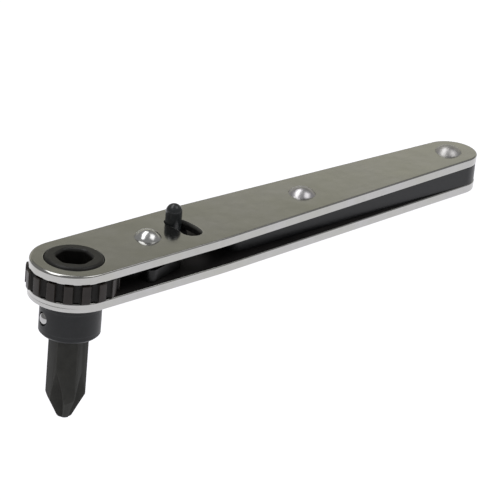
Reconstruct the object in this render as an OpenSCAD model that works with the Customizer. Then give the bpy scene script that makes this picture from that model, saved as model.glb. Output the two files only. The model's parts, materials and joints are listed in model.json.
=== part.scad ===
// Flat ratcheting offset screwdriver: two plates riveted round a spacer, a toothed drive gear
// with a hex socket at the head, an insert bit, and a pawl turned over by a thumb lever.
// The origin is the tip of the bit, +X runs from the head to the tail, and the bit points down.

/* [Plates] */
// Half-width of the head, and the radius of its round end
head_r = 8.05; // [7.6:0.05:9]
// Distance from the drive axis to the place where the sides start to taper
taper_x = 29.3; // [29:0.1:40]
// Distance from the drive axis to the centre of the round tail
tail_x = 95.9; // [80:0.1:130]
// Radius of the round tail
tail_r = 5.3; // [4.5:0.05:7]
// Thickness of one plate
plate_t = 1.8; // [1.2:0.1:2.5]
// Gap between the plates
plate_gap = 3.6; // [3.2:0.1:5]

/* [Spacer] */
// Distance from the drive axis to the spacer's front end
spacer_x = 34; // [30.5:0.1:45]
// How far the spacer stays inside the plates' round tail
spacer_inset = 0.1; // [0:0.05:1]
// Radius of the spacer's front corners
spacer_corner_r = 2.4; // [0.5:0.1:3.4]

/* [Drive gear] */
// Number of teeth, a multiple of four
tooth_count = 16; // [12:4:24]
// Radius over the tooth tips
gear_tip_r = 8.5; // [7.8:0.05:9.5]
// Radius of the round groove between two teeth
groove_r = 0.85; // [0.75:0.05:1]
// Radius of the hub in the top plate
hub_r = 5.45; // [5:0.05:6.5]
// How far the hub stands above the top plate
hub_proud = 0.4; // [0:0.05:1]
// Hexagon across flats of the recess in the hub's top
key_af = 6; // [5.8:0.05:6.2]
// Depth of the recess in the hub's top
key_depth = 3.2; // [2:0.1:4]
// Radius of the push-out hole between the recess and the socket
hole_r = 2.8; // [2.2:0.05:2.85]
// Radius of the collar below the bottom plate
collar_r = 5.65; // [5.4:0.05:6.8]
// Length of the collar below the bottom plate
collar_len = 7.3; // [6.5:0.1:10]
// Chamfer round the collar's lower end
nose_chamfer = 0.45; // [0.1:0.05:0.8]
// Depth of the hex socket
socket_depth = 7.9; // [7:0.1:8.9]

/* [Driver bit] */
// Hexagon across flats
hex_af = 6.3; // [5.5:0.05:6.35]
// Length of the bit
bit_len = 25; // [23:0.5:32]
// Turn of the hexagon's corners about the drive axis, in degrees
hex_turn = 17.7; // [0:0.1:60]
// Half-angle of the bit's cone, in degrees
cone_angle = 26.6; // [22:0.1:32]
// Radius of the blunt tip
tip_r = 1.15; // [0.9:0.05:1.5]
// Chamfer at the bit's upper end
bit_chamfer = 0.5; // [0.1:0.05:0.8]
// Turn of the flutes about the drive axis, in degrees
flute_turn = 17.7; // [0:0.1:90]
// Radius of the flute roots at the tip
flute_root_r = 0.75; // [0.6:0.01:0.9]
// Half-angle of a flute, in degrees
flute_half_angle = 46; // [44:0.5:48]
// Radius of the grinding sweep that runs a flute out
flute_sweep_r = 25; // [18:0.5:40]
// How far below the tip a flute is deepest
flute_dip = 1; // [0:0.1:2]

/* [Bit retainer] */
// How far the detent ball stands out of the collar
ball_proud = 0.32; // [0.1:0.02:0.6]
// Height of the ball above the collar's lower end
ball_rise = 3.4; // [2.8:0.1:4]
// Thickness of the spring band round the collar
band_t = 0.5; // [0.3:0.05:0.6]
// Height of the spring band
band_h = 4.4; // [3.6:0.1:5]
// Width of the gap in the spring band
band_gap = 2; // [1:0.1:4]

/* [Reversing gear] */
// Distance from the drive axis to the pawl's pivot
pivot_x = 17.25; // [16.5:0.05:18.5]
// Outer radius of the pivot sleeve
sleeve_r = 2; // [1.7:0.05:2.2]
// Thickness of the pawl
pawl_t = 2.3; // [1.6:0.1:2.4]
// Depth that a pawl claw reaches into a tooth groove
claw_depth = 0.45; // [0.3:0.05:0.5]
// Radius of a pawl claw's point
claw_tip_r = 0.25; // [0.2:0.01:0.3]
// Radius of the thumb pin's orbit about the pivot
pin_orbit = 8.87; // [8.6:0.01:9.2]
// Throw of the lever to each side, in degrees
lever_throw = 17.5; // [12:0.5:18]
// Radius of the lever plate's outer end
lever_end_r = 2.7; // [1.8:0.1:3]
// Radius of the lever plate's eye
lever_eye_r = 3.5; // [3:0.1:4.5]
// Diameter of the thumb pin
pin_d = 3.1; // [2:0.1:3.2]
// Height of the thumb pin above the top plate
pin_h = 3.65; // [2:0.05:6]
// Radius of the thumb pin's stem in the lever plate
stem_r = 1.1; // [0.8:0.05:1.2]
// Half-width of the slot round the thumb pin
slot_half_w = 2.05; // [1.8:0.05:2.4]

/* [Toggle spring] */
// Height that the spring keeps clear of the pawl's upper and lower faces
spring_margin = 0.2; // [0.15:0.05:0.4]
// Radius of the spring wire
wire_r = 0.17; // [0.12:0.01:0.2]
// Number of turns
spring_turns = 4; // [3:1:5]

/* [Rivets] */
// Radius of the pivot rivet's shank
pivot_shank_r = 1.3; // [1:0.05:1.5]
// Radius of the pivot rivet's heads
pivot_head_r = 2.55; // [2:0.05:3]
// Height of the pivot rivet's heads
pivot_head_h = 1.45; // [0.5:0.05:1.8]
// Distance from the drive axis to the middle rivet
mid_rivet_x = 55.7; // [45:0.1:70]
// How far the tail rivet sits ahead of the round tail's centre
tail_rivet_inset = 0.6; // [0:0.1:3]
// Radius of the two handle rivets' shanks
handle_shank_r = 1.5; // [1:0.05:2]
// Radius of the two handle rivets' heads
handle_head_r = 2.65; // [2.1:0.05:3.2]
// Height of the two handle rivets' heads
handle_head_h = 1.2; // [0.3:0.05:1.6]

/* [Clearances] */
// Radial clearance of a turning fit
turn_c = 0.05; // [0.02:0.01:0.08]
// Clearance between sliding flat faces
side_c = 0.1; // [0.05:0.01:0.12]
// Radial clearance of a fixed pin in its hole
fixed_c = 0.02; // [0.01:0.01:0.05]
// Clearance on each face of the hexagon in its socket
hex_c = 0.05; // [0.03:0.01:0.1]
// Clearance between a pawl claw and a passing tooth tip
tooth_c = 0.12; // [0.1:0.01:0.15]
// Clearance between the thumb pin and the end of its slot
slot_end_c = 0.12; // [0.1:0.01:0.3]

/* [Hidden] */
$fn = 96;

// How far a cutting shape reaches past the face that it cuts
over = 1;
// How far the straight sides of a belt dip into its round corners, so that they cross cleanly
hair = 0.0002;
// Degrees that the two halves of the thumb pin's slot share
slot_lap = 2;
// Flutes of the cross point
flute_count = 4;
// The face of the hexagon that the ball bears on, counted from the first corner
ball_face = 2;
// Share of the ball seat's width that its taper would leave at the drive axis
seat_narrow = 0.545;
// Share of a tooth pitch between the line to the pivot and an engaged claw
claw_in_share = 0.42;

// Pawl's outline, seen from the pivot with the gear towards -X: rounded corners as [x, y, r]
shoulder = [-3.75, 5.65, 1.3];
heel = [3.3, 3.4, 1.6];
// Where a claw grows out of the pawl, from its inner to its outer edge
claw_root_x = -4.4;
claw_root_y = [0.9, 3.9];
claw_root_r = 0.4;

// Seat of the toggle spring in the pawl, seen from the pivot
spring_seat_x = 4.4;
spring_foot_x = 4.01;
spring_room = 0.35;
// Rings to a turn of the spring, and points to a ring of its wire
spring_steps = 8;
spring_sides = 6;

// Heights, counted up from the tip of the bit
nose_z = bit_len + side_c - socket_depth;
bottom_z = nose_z + collar_len;
gap_z = bottom_z + plate_t;
top_z = gap_z + plate_gap;
face_z = top_z + plate_t;
hub_z = face_z + hub_proud;
shoulder_z = nose_z + socket_depth;
gear_z = gap_z + side_c;
gear_t = plate_gap - 2 * side_c;
lever_z = gear_z + pawl_t + side_c;
lever_t = top_z - side_c - lever_z;
ball_z = nose_z + ball_rise;

// The hexagon and the ball that bears on one of its faces
hex_corner_r = hex_af / 2 / cos(30);
socket_corner_r = (hex_af / 2 + hex_c) / cos(30);
key_corner_r = key_af / 2 / cos(30);
key_z = hub_z - key_depth;
ball_r = (collar_r + ball_proud - hex_af / 2 - fixed_c) / 2;
ball_turn = hex_turn + 30 + 60 * ball_face;
ball_x = collar_r + ball_proud - ball_r;
band_in_r = collar_r - band_t;
window_x = (pow(band_in_r, 2) + pow(ball_x, 2) - pow(ball_r, 2)) / (2 * ball_x);
window_r = sqrt(pow(band_in_r, 2) - pow(window_x, 2)) + fixed_c;

// Centre of a pawl claw's round point: deep in a tooth groove, and clear of the teeth with the pawl
// in the middle of its swing. Its turn is seen from the pivot, away from the line to the gear.
tooth_pitch = 360 / tooth_count;
claw_in_r = gear_tip_r - claw_depth + claw_tip_r;
claw_out_r = gear_tip_r + tooth_c + claw_tip_r;
claw_in_turn = claw_in_share * tooth_pitch;
claw_arm = norm([pivot_x - claw_in_r * cos(claw_in_turn), claw_in_r * sin(claw_in_turn)]);
claw_turn = acos((pow(pivot_x, 2) + pow(claw_arm, 2) - pow(claw_out_r, 2))
    / (2 * pivot_x * claw_arm));

// The slot's end circles stop the pin a little past its throw
pin_r = pin_d / 2;
slot_turn = lever_throw - (slot_half_w - pin_r - slot_end_c) / pin_orbit * 180 / PI;
slot_in_r = pin_orbit - slot_half_w;
slot_out_r = pin_orbit + slot_half_w;

// The spring fits the pawl's thickness, and its seat in the pawl fits the spring
spring_r = pawl_t / 2 - spring_margin;
spring_mid_r = spring_r - wire_r;
spring_seat_r = spring_r + spring_room;
spring_line = [pin_orbit * cos(lever_throw) - spring_foot_x, pin_orbit * sin(lever_throw)];
spring_len = norm(spring_line) - stem_r - side_c - 2 * wire_r;
tail_rivet_x = tail_x - tail_rivet_inset;

// The point at a distance and a direction from the origin
function polar(r, a) = [r * cos(a), r * sin(a)];

// Direction of the outward normal shared by two circles [x, y, r], the first met first going round
function belt_normal(a, b) =
    let (dx = b[0] - a[0], dy = b[1] - a[1])
    atan2(dy, dx) - acos((a[2] - b[2]) / norm([dx, dy]));

// The end of a belt's straight side on a circle, given the side's outward normal
function belt_end(c, t) = [c[0], c[1]] + polar(max(0, c[2] - hair), t);

// The tight belt round a convex ring of circles [x, y, r] listed anticlockwise
module belt(ring) {
    n = len(ring);
    polygon([for (i = [0:n - 1]) let (a = ring[i], b = ring[(i + 1) % n], t = belt_normal(a, b))
        each [belt_end(a, t), belt_end(b, t)]]);
    for (c = ring)
        if (c[2] > 0) translate([c[0], c[1]]) circle(r = c[2]);
}

// A bar of the given height standing on z
module bar(z, h, r) {
    translate([0, 0, z]) cylinder(h = h, r = r);
}

// A low dome with a flat round base at z = 0
module dome(r, h) {
    ball = (r * r + h * h) / (2 * h);
    intersection() {
        translate([0, 0, h - ball]) sphere(r = ball);
        cylinder(h = h, r = r);
    }
}

// A hexagonal prism standing on z, given its corner radius
module hex_bar(z, h, corner_r) {
    translate([0, 0, z]) rotate(hex_turn) cylinder(h = h, r = corner_r, $fn = 6);
}

// Outline that both plates share
module plate_outline() {
    belt([[0, 0, head_r], [taper_x, -head_r, 0], [tail_x, 0, tail_r], [taper_x, head_r, 0]]);
}

// Places its children on the pawl's pivot
module at_pivot() {
    translate([pivot_x, 0, 0]) children();
}

// Rivet holes through a plate that stands on z
module plate_rivet_holes(z) {
    at_pivot() bar(z - over, plate_t + 2 * over, pivot_shank_r + fixed_c);
    handle_rivet_holes(z, plate_t);
}

// Holes for the two handle rivets through a piece that stands on z
module handle_rivet_holes(z, h) {
    for (x = [mid_rivet_x, tail_rivet_x])
        translate([x, 0, 0]) bar(z - over, h + 2 * over, handle_shank_r + fixed_c);
}

// Half of the thumb pin's slot, turned so that its round end lies on the X axis
module slot_half() {
    far = slot_turn + slot_lap;
    reach = slot_out_r / cos(far / 2) + over;
    intersection() {
        difference() {
            circle(r = slot_out_r);
            circle(r = slot_in_r);
        }
        polygon([[0, 0], polar(reach, -far), [reach, 0]]);
    }
    translate([pin_orbit, 0]) circle(r = slot_half_w);
}

// Curved slot for the thumb pin, round the pivot
module slot_outline() {
    rotate(slot_turn) slot_half();
    mirror([0, 1]) rotate(slot_turn) slot_half();
}

// Upper plate, with the hub's bearing hole and the thumb pin's slot
module top_plate() {
    color("silver") difference() {
        translate([0, 0, top_z]) linear_extrude(plate_t) plate_outline();
        bar(top_z - over, plate_t + 2 * over, hub_r + turn_c);
        plate_rivet_holes(top_z);
        at_pivot() translate([0, 0, top_z - over])
            linear_extrude(plate_t + 2 * over) slot_outline();
    }
}

// Lower plate, with the collar's bearing hole
module bottom_plate() {
    color("silver") difference() {
        translate([0, 0, bottom_z]) linear_extrude(plate_t) plate_outline();
        bar(bottom_z - over, plate_t + 2 * over, collar_r + turn_c);
        plate_rivet_holes(bottom_z);
    }
}

// Spacer bar between the plates, with parallel sides
module handle_spacer() {
    half_w = tail_r - spacer_inset;
    corner_x = spacer_x + spacer_corner_r;
    corner_y = half_w - spacer_corner_r;
    color("dimgray") difference() {
        translate([0, 0, gap_z]) linear_extrude(plate_gap)
            belt([[corner_x, -corner_y, spacer_corner_r], [tail_x, 0, half_w],
                [corner_x, corner_y, spacer_corner_r]]);
        handle_rivet_holes(gap_z, plate_gap);
    }
}

// Toothed disc between the plates
module gear_disc() {
    difference() {
        bar(gear_z, gear_t, gear_tip_r);
        for (i = [0:tooth_count - 1])
            rotate((i + 0.5) * tooth_pitch) translate([gear_tip_r, 0, 0])
                bar(gear_z - over, gear_t + 2 * over, groove_r);
    }
}

// Radial seat for the detent ball, too narrow at its inner mouth for the ball to fall through
module ball_seat() {
    seat_r = ball_r + turn_c;
    translate([0, 0, ball_z]) rotate(ball_turn) rotate([0, 90, 0]) {
        bar(ball_x, collar_r + over - ball_x, seat_r);
        cylinder(h = ball_x, r1 = seat_narrow * seat_r, r2 = seat_r);
    }
}

// Drive gear: hub with its recess, toothed disc and collar with its hex socket, in one piece
module drive_gear() {
    color("#4a443e") difference() {
        union() {
            gear_disc();
            bar(gear_z, hub_z - gear_z, hub_r);
            bar(nose_z + nose_chamfer, gear_z - nose_z - nose_chamfer, collar_r);
            translate([0, 0, nose_z])
                cylinder(h = nose_chamfer, r1 = collar_r - nose_chamfer, r2 = collar_r);
        }
        hex_bar(nose_z - over, socket_depth + over, socket_corner_r);
        bar(shoulder_z, key_z - shoulder_z + over, hole_r);
        hex_bar(key_z, key_depth + over, key_corner_r);
        difference() {
            bar(ball_z - band_h / 2 - side_c, band_h + 2 * side_c, collar_r + over);
            bar(ball_z - band_h, 2 * band_h, band_in_r - fixed_c);
        }
        ball_seat();
    }
}

// One cross-point flute, as the grinding wheel that cuts it
module flute_cutter() {
    rim = 2 * hex_corner_r;
    half_w = rim * tan(flute_half_angle);
    middle = flute_sweep_r + flute_root_r - pow(flute_dip, 2) / (2 * flute_sweep_r);
    translate([middle, 0, -flute_dip]) rotate([90, 0, 0]) rotate_extrude()
        polygon([[0, -half_w], [flute_sweep_r - rim, -half_w], [flute_sweep_r, 0],
            [flute_sweep_r - rim, half_w], [0, half_w]]);
}

// Cross-point insert bit with a hexagonal shank
module driver_bit() {
    wide_r = hex_corner_r + over;
    end_r = hex_corner_r - bit_chamfer;
    color("#3b3a3a") difference() {
        intersection() {
            hex_bar(0, bit_len, hex_corner_r);
            rotate_extrude() polygon([[0, 0], [tip_r, 0],
                [wide_r, (wide_r - tip_r) / tan(cone_angle)],
                [wide_r, bit_len - wide_r + end_r], [end_r, bit_len], [0, bit_len]]);
        }
        for (i = [0:flute_count - 1])
            rotate(flute_turn + 360 / flute_count * i) flute_cutter();
    }
}

// Detent ball that bears on a face of the bit
module detent_ball() {
    color("gainsboro") rotate(ball_turn) translate([ball_x, 0, ball_z]) sphere(r = ball_r);
}

// Open spring band that presses the ball inwards and lets its cap show through a window
module retaining_band() {
    color("#3b3a3a") translate([0, 0, ball_z]) rotate(ball_turn) difference() {
        bar(-band_h / 2, band_h, collar_r);
        bar(-band_h, 2 * band_h, band_in_r);
        translate([-collar_r - over, -band_gap / 2, -band_h])
            cube([collar_r + over, band_gap, 2 * band_h]);
        rotate([0, 90, 0]) bar(0, collar_r + over, window_r);
    }
}

// One pawl claw, on the +Y side
module claw() {
    point = polar(claw_arm, 180 - claw_turn);
    belt([[point[0], point[1], claw_tip_r],
        [claw_root_x, claw_root_y[0], claw_root_r],
        [claw_root_x, claw_root_y[1], claw_root_r]]);
}

// Outline of the pawl
module pawl_outline() {
    back = heel[0] + heel[2] + over;
    difference() {
        union() {
            belt([[shoulder[0], -shoulder[1], shoulder[2]], [heel[0], -heel[1], heel[2]], heel,
                shoulder]);
            claw();
            mirror([0, 1]) claw();
        }
        circle(r = sleeve_r + turn_c);
        translate([spring_seat_x, 0]) circle(r = spring_seat_r);
        polygon([[spring_seat_x, -spring_seat_r], [back, -2 * spring_seat_r],
            [back, 2 * spring_seat_r], [spring_seat_x, spring_seat_r]]);
    }
}

// Rocking pawl with a claw for each direction
module pawl() {
    color("#4a443e") at_pivot() translate([0, 0, gear_z]) linear_extrude(pawl_t) pawl_outline();
}

// Lever plate that carries the thumb pin round the pivot
module reversing_lever() {
    end = polar(pin_orbit, lever_throw);
    color("#2c2c2c") at_pivot() difference() {
        translate([0, 0, lever_z]) linear_extrude(lever_t)
            belt([[0, 0, lever_eye_r], [end[0], end[1], lever_end_r]]);
        bar(lever_z - over, lever_t + 2 * over, sleeve_r + turn_c);
        translate(end) bar(lever_z - over, lever_t + 2 * over, stem_r + fixed_c);
    }
}

// Round-topped thumb pin, whose stem passes through the lever plate and takes the spring
module thumb_pin() {
    pin_z = lever_z + lever_t;
    crown_z = face_z + pin_h - pin_r;
    color("#2c2c2c") at_pivot() translate(polar(pin_orbit, lever_throw)) {
        bar(gear_z, pin_z - gear_z, stem_r);
        bar(pin_z, crown_z - pin_z, pin_r);
        translate([0, 0, crown_z]) sphere(r = pin_r);
    }
}

// Points along the toggle spring's wire, with its axis along +X from the origin
function spring_point(t) =
    [wire_r + spring_len * t, spring_mid_r * cos(360 * spring_turns * t),
        spring_mid_r * sin(360 * spring_turns * t)];
function spring_way(t) =
    let (w = [spring_len / (2 * PI * spring_turns), -spring_mid_r * sin(360 * spring_turns * t),
        spring_mid_r * cos(360 * spring_turns * t)])
    w / norm(w);

// Ring of points round the wire at one place along it
function wire_ring(t) =
    let (p = spring_point(t), w = spring_way(t),
        out = [0, cos(360 * spring_turns * t), sin(360 * spring_turns * t)], side = cross(w, out))
    [for (i = [0:spring_sides - 1]) let (a = 360 * i / spring_sides)
        p + wire_r * (cos(a) * out + sin(a) * side)];

// Over-centre spring between the thumb pin's stem and the pawl's heel
module toggle_spring() {
    n = spring_turns * spring_steps;
    k = spring_sides;
    points = [for (i = [0:n]) each wire_ring(i / n)];
    sides = [for (i = [0:n - 1], j = [0:k - 1])
        let (a = i * k + j, b = i * k + (j + 1) % k)
        each [[a, b, b + k], [a, b + k, a + k]]];
    caps = [for (j = [1:k - 2]) each [[0, j + 1, j], [n * k, n * k + j, n * k + j + 1]]];
    color("lightgray") at_pivot() translate([spring_foot_x, 0, gear_z + pawl_t / 2])
        rotate(atan2(spring_line[1], spring_line[0])) polyhedron(points, concat(sides, caps));
}

// Sleeve that holds the plates apart at the pivot, for the pawl and the lever to turn on
module pivot_sleeve() {
    color("darkgray") at_pivot() difference() {
        bar(gap_z, plate_gap, sleeve_r);
        bar(gap_z - over, plate_gap + 2 * over, pivot_shank_r + fixed_c);
    }
}

// Round-headed rivet through both plates
module rivet(shank_r, head_r, head_h) {
    bar(bottom_z, face_z - bottom_z, shank_r);
    translate([0, 0, face_z]) dome(head_r, head_h);
    translate([0, 0, bottom_z]) mirror([0, 0, 1]) dome(head_r, head_h);
}

// Rivet that the pawl and the lever turn round
module pivot_rivet() {
    color("gainsboro") at_pivot() rivet(pivot_shank_r, pivot_head_r, pivot_head_h);
}

// Rivet through the middle of the spacer
module mid_rivet() {
    color("gainsboro") translate([mid_rivet_x, 0, 0])
        rivet(handle_shank_r, handle_head_r, handle_head_h);
}

// Rivet through the spacer's tail
module tail_rivet() {
    color("gainsboro") translate([tail_rivet_x, 0, 0])
        rivet(handle_shank_r, handle_head_r, handle_head_h);
}

top_plate();
bottom_plate();
handle_spacer();
drive_gear();
driver_bit();
detent_ball();
retaining_band();
pawl();
reversing_lever();
thumb_pin();
toggle_spring();
pivot_sleeve();
pivot_rivet();
mid_rivet();
tail_rivet();
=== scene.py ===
import json
import math
from collections import namedtuple

import bmesh
import bpy
from mathutils import Euler, Matrix, Vector
from mathutils.geometry import delaunay_2d_cdt


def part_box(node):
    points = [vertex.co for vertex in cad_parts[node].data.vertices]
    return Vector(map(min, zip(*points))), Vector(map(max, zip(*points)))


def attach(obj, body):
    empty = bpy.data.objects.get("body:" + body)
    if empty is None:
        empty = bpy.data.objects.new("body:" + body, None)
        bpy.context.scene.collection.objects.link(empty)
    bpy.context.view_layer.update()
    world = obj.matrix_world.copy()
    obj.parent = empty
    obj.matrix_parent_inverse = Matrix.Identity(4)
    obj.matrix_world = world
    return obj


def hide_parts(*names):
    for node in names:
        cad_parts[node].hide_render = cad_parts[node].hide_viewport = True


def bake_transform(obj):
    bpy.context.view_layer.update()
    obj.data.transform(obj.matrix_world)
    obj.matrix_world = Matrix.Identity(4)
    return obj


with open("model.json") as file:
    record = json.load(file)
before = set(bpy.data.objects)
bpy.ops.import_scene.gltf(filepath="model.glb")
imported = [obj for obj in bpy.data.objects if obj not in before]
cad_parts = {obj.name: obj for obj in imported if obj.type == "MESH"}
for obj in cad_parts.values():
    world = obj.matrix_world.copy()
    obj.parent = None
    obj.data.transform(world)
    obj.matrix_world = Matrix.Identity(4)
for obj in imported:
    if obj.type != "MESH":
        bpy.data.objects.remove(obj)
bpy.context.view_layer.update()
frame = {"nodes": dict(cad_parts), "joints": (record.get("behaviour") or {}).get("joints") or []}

MM = 0.001
SIZE_DIGITS = 3


def heights(node):
    """Lowest and highest point of a node, in millimetres."""
    return tuple(round(corner.z / MM, SIZE_DIGITS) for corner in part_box(node))


def middle_x(node):
    """Middle of a node along the handle, in millimetres."""
    low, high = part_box(node)
    return round((low.x + high.x) / 2 / MM, SIZE_DIGITS)


# Sizes are in millimetres and turns in degrees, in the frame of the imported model

# Plates, whose taper runs from the head's sides to a tangent of the tail's circle
HEAD_R = 8.05
TAPER_X = 29.3
TAIL_X = 95.9
TAIL_R = 5.3
TAPER_RUN = TAIL_X - TAPER_X
TAPER_TURN = math.degrees(
    math.atan2(HEAD_R, TAPER_RUN) - math.asin(TAIL_R / math.hypot(TAPER_RUN, HEAD_R)))
KINK_EASE = 1.2
TOP_PLATE_Z = heights("top_plate")
BOTTOM_PLATE_Z = heights("bottom_plate")
EDGE_R = 0.3
HEAD_EDGE_R = 0.55
INNER_EDGE_R = 0.25
HOLE_EDGE_R = 0.15
SLOT_EDGE_R = 0.05

# Crease round the front edge of the bottom plate
CREASE_RISE = 1.05
CREASE_Z = BOTTOM_PLATE_Z[0] + CREASE_RISE
CREASE_HALF = 0.34
CREASE_DEPTH = 0.06
FLANK_SLOPE = 2 * CREASE_DEPTH / CREASE_HALF

# Spacer
SPACER_Z = heights("handle_spacer")
SPACER_X = 34.0
SPACER_INSET = 0.1
SPACER_HALF_WIDTH = TAIL_R - SPACER_INSET
SPACER_CORNER_R = 2.4
SPACER_EDGE_R = 0.08

# Rivets
LEVER_JOINT = next(joint for joint in frame["joints"] if joint["name"] == "lever_throw")
PIVOT_X = round(LEVER_JOINT["pos_m"][0] / MM, SIZE_DIGITS)
MID_X = middle_x("mid_rivet")
TAIL_RIVET_X = middle_x("tail_rivet")
PIVOT_SHANK_R = 1.3
PIVOT_HEAD_R = 2.55
HANDLE_SHANK_R = 1.5
HANDLE_HEAD_R = 2.65
SHANK_GAP = 0.02

# Drive gear: toothed disc, hub with a six-sided recess, and collar with a hex socket
FACE_GAP = 0.1
TURN_GAP = 0.05
GEAR_TEETH = 16
GEAR_TIP_R = 8.5
GEAR_GROOVE_R = 0.85
GEAR_Z = (BOTTOM_PLATE_Z[1] + FACE_GAP, TOP_PLATE_Z[0] - FACE_GAP)
LAND_EASE = 0.14
TOOTH_EDGE_R = 0.1
COLLAR_BOTTOM, HUB_TOP = heights("drive_gear")
HUB_R = 5.45
HUB_EDGE_R = 0.7
HUB_RIM_R = 4.4
HUB_HOLE_R = HUB_R + TURN_GAP
HEX_SIDES = 6
HEX_STEP = 360 / HEX_SIDES
HEX_TURN = 17.7
KEY_FLATS = 6.0
KEY_CORNER_R = 1.4
KEY_EDGE_R = 0.6
KEY_DEPTH = 3.2
KEY_Z = HUB_TOP - KEY_DEPTH
PUSH_HOLE_R = 2.8
PUSH_HOLE_DEPTH = 3.8
SHOULDER_Z = KEY_Z - PUSH_HOLE_DEPTH
COLLAR_R = 5.65
COLLAR_HOLE_R = COLLAR_R + TURN_GAP
NOSE_CHAMFER = 0.45
NOSE_EDGE_R = 0.15
MOUTH_R = 4.4
SOCKET_FLATS = 6.4
SOCKET_CORNER_R = 0.15
SOCKET_EDGE_R = 0.2
BAND_Z = heights("retaining_band")
BAND_GAP = 0.01
BAND_GROOVE_R = 5.13
BAND_GROOVE_Z = (BAND_Z[0] - BAND_GAP, BAND_Z[1] + BAND_GAP)

# Detent ball, in the middle of one face of the hexagon
BALL_R = 1.4
BALL_PROUD = 0.32
BALL_REACH = COLLAR_R + BALL_PROUD - BALL_R
BALL_FACE = 2
BALL_TURN = HEX_TURN + HEX_STEP * BALL_FACE + HEX_STEP / 2
BALL_Z = sum(BAND_Z) / 2

# Bit: turns that sort its edges, and the ball that its end is rounded to
BIT_EASE = 0.08
BIT_WELD = 0.002
FLAT_TURN = 0.5
EASED_TURN = 18
SHARP_TURN = 35
TIP_BALL_R = 2.3
TIP_SHARE = 0.45
TIP_HEIGHT = TIP_BALL_R * TIP_SHARE
TIP_SLICES = 4
TIP_FACE_Z = 0.1
TIP_FACE_NORMAL = -0.99

# Thumb pin and the slot that it swings in
PIN_ORBIT = 8.87
PIN_THROW = (LEVER_JOINT["range_deg"][1] - LEVER_JOINT["range_deg"][0]) / 2
PIN_R = 1.55
PIN_STEM_R = 1.1
PIN_BOTTOM, PIN_TOP = heights("thumb_pin")
PIN_CROWN_Z = PIN_TOP - PIN_R
PIN_SHOULDER_Z = heights("reversing_lever")[1]
SLOT_HALF_WIDTH = 2.05
SLOT_END_GAP = 0.12
SLOT_END = PIN_THROW - math.degrees((SLOT_HALF_WIDTH - PIN_R - SLOT_END_GAP) / PIN_ORBIT)

# Toggle spring; its cone is a share of the way from its foot towards the pin
SPRING_FOOT_REACH = 4.01
SPRING_FOOT_X = PIVOT_X + SPRING_FOOT_REACH
SPRING_Z = sum(heights("pawl")) / 2
SPRING_MID_R = 0.78
SPRING_FOOT_R = 0.36
SPRING_CONE = 0.7
SPRING_TURNS = 4
SPRING_GAP = 0.1
WIRE_R = 0.17

# Steps that round stretches are drawn in
ROUND_STEPS = 64
FINE_STEPS = 128
HOLE_STEPS = 96
RIVET_HOLE_STEPS = 48
SLOT_SIDE_STEPS = 24
SLOT_END_STEPS = 32
EDGE_STEPS = 6
CORNER_STEPS = 5
DOME_STEPS = 10
BALL_STEPS = 16
LAND_STEPS = 6
LAND_EASE_STEPS = 4
GROOVE_STEPS = 10
HEX_CORNER_STEPS = 6
SPACER_CORNER_STEPS = 24
SPRING_STEPS = 96
WIRE_SIDES = 10
BIT_EASE_STEPS = 2

# Material slots of the plates and of the gear
FACE, INSIDE, CUT = 0, 1, 2
DISC, COLLAR, HUB, GROOVE = 0, 1, 2, 3


class Shape:
    """Faces in millimetres, with a normal at each corner."""

    PLACE_DIGITS = 5

    def __init__(self):
        self.index = {}
        self.points = []
        self.faces = []
        self.normals = []
        self.slots = []

    def point(self, place):
        key = tuple(round(float(c), self.PLACE_DIGITS) for c in place)
        if key not in self.index:
            self.index[key] = len(self.points)
            self.points.append(key)
        return self.index[key]

    def face(self, corners, normals, slot=0):
        ids = []
        kept = []
        for place, normal in zip(corners, normals):
            i = self.point(place)
            if i not in ids:
                ids.append(i)
                kept.append(Vector(normal).normalized())
        if len(ids) > 2:
            self.faces.append(ids)
            self.normals.extend(kept)
            self.slots.append(slot)

    def bands(self, rows, slot=0):
        """Joins closed rows of (places, normals), each to the next, with the outside to the left.

        The slot may be one value or one for each point of a row.
        """
        count = len(rows[0][0])
        slots = each(slot, count)
        for (upper, upper_n), (lower, lower_n) in zip(rows, rows[1:]):
            for j in range(count):
                k = (j + 1) % count
                self.face(
                    (upper[j], lower[j], lower[k], upper[k]),
                    (upper_n[j], lower_n[j], lower_n[k], upper_n[k]),
                    slots[j],
                )

    def cap(self, loops, up, slot=0):
        """Fills level loops, the outline first and then its holes, facing up or down."""
        inside_loops = 1
        nearness = 1e-6
        outline_only = [0]
        places = []
        rings = []
        for loop in loops:
            ids = list(range(len(places), len(places) + len(loop)))
            places += loop
            rings.append(ids if turns_left(loop) else ids[::-1])
        flat = [Vector(p[:2]) for p in places]
        filled = delaunay_2d_cdt(flat, [], rings, inside_loops, nearness)
        faces, point_origins, ring_origins = filled[2], filled[3], filled[5]
        normal = (0, 0, 1 if up else -1)
        for ids, inside in zip(faces, ring_origins):
            if inside == outline_only:
                corners = [places[point_origins[i][0]] for i in ids]
                self.face(corners if up else corners[::-1], (normal,) * len(ids), slot)

    def make(self, node, body, slot_name, *materials):
        """Puts the shape in the scene in place of a node."""
        mesh = bpy.data.meshes.new(node + "_skin")
        mesh.from_pydata([Vector(p) * MM for p in self.points], [], self.faces)
        mesh.shade_smooth()
        mesh.polygons.foreach_set("material_index", self.slots)
        mesh.normals_split_custom_set(self.normals)
        return placed(mesh, node, body, slot_name, *materials)


def each(value, count):
    """The value itself if it is a list, or else a list that repeats it."""
    return value if isinstance(value, list) else [value] * count


def turns_left(loop):
    """Whether a level loop goes round to the left, seen from above."""
    return sum(a[0] * b[1] - b[0] * a[1] for a, b in zip(loop, loop[1:] + loop[:1])) > 0


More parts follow.
